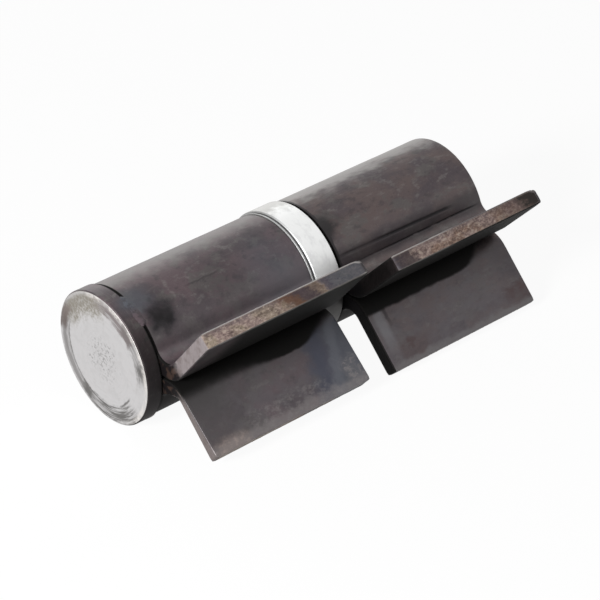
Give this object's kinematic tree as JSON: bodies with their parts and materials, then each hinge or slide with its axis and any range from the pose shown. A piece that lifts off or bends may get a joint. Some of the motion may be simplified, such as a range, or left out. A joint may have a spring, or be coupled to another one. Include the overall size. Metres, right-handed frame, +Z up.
{
  "type": "weld-on barrel hinge",
  "caption": "Heavy weld-on barrel hinge: rolled-plate barrels with flared wings turn end to end on a headed pin and a covered thrust bearing.",
  "frame": {"origin": "on the hinge's axis, at the centre of the ground end of the pin's head", "axes": "+X along the barrel from the pin's head to the closed end, +Z up from the surface it lies on; the wings point to -Y"},
  "size_m": [0.16, 0.0807, 0.0549],
  "materials": {
    "mill_scale": "hot-rolled plate with dark mill scale, light rust on the sheared edges",
    "collar_steel": "dark heat-tinted steel, ground bright on its end",
    "ground_steel": "turned and ground bright",
    "weld_metal": "weld, dull grey with a blue heat tint",
    "bright_ring": "bright zinc plate, satin",
    "turned_steel": "plain turned",
    "bearing_steel": "hardened and ground",
    "cage_steel": "pressed sheet",
    "bronze": "sintered bronze"
  },
  "bodies": {
    "post_half": {"post_yoke": "mill_scale", "post_sleeve": "turned_steel", "near_bush": "bronze", "far_bush": "bronze", "turning_race": "bearing_steel", "tail_washer": "turned_steel", "end_plug": "turned_steel"},
    "gate_half": {"gate_yoke": "mill_scale", "gate_sleeve": "turned_steel", "head_collar": "collar_steel", "pivot_pin": "ground_steel", "head_weld": "weld_metal", "collar_stitch_1": "weld_metal", "collar_stitch_2": "weld_metal", "collar_stitch_3": "weld_metal", "shim_washer": "bright_ring", "fixed_race": "bearing_steel", "bearing_cover": "bright_ring", "tail_ring": "bearing_steel"},
    "bearing_roll": {"roller_cage": "cage_steel", "thrust_roller_01": "bearing_steel", "thrust_roller_02": "bearing_steel", "thrust_roller_03": "bearing_steel", "thrust_roller_04": "bearing_steel", "thrust_roller_05": "bearing_steel", "thrust_roller_06": "bearing_steel", "thrust_roller_07": "bearing_steel", "thrust_roller_08": "bearing_steel", "thrust_roller_09": "bearing_steel", "thrust_roller_10": "bearing_steel", "thrust_roller_11": "bearing_steel", "thrust_roller_12": "bearing_steel"}
  },
  "joints": [
    {"name": "barrel_turn", "type": "hinge", "parent": "post_half", "child": "gate_half", "pos_m": [0, 0, 0], "axis": [1, 0, 0], "continuous": true},
    {"name": "cage_roll", "type": "hinge", "parent": "post_half", "child": "bearing_roll", "pos_m": [0.0838, 0, 0], "axis": [1, 0, 0], "continuous": true}
  ],
  "couplings": [
    {"joint": "cage_roll", "follows": "barrel_turn", "ratio": 0.5}
  ]
}
